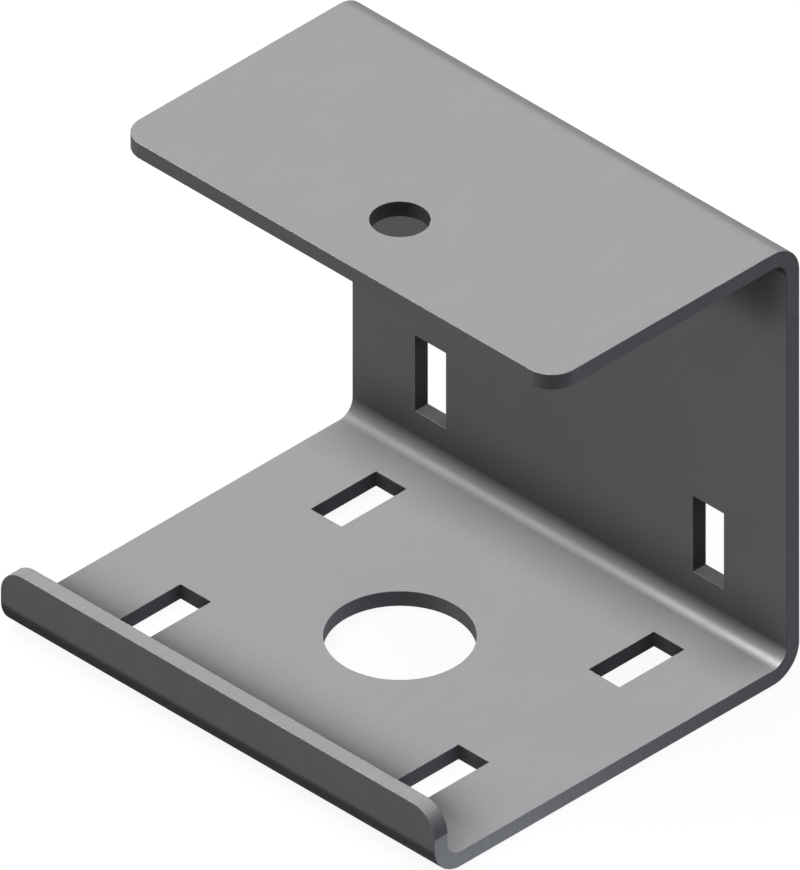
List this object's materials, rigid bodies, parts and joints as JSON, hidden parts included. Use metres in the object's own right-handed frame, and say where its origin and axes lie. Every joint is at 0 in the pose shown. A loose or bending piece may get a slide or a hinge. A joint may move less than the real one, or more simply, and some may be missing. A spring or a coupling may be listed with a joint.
{
  "type": "suspension bracket",
  "caption": "Folded steel bracket that hangs from a rod through its upper flange and carries a load in its open, slotted channel.",
  "frame": {"origin": "underside of the base, on the common axis of the two round holes", "axes": "+X along the bends, +Y from the lip to the web, +Z from the base to the flange"},
  "size_m": [0.1, 0.084, 0.086],
  "materials": {
    "steel": "satin zinc-coated sheet steel with sheared edges"
  },
  "bodies": {
    "root": {"bracket": "steel"}
  },
  "joints": []
}
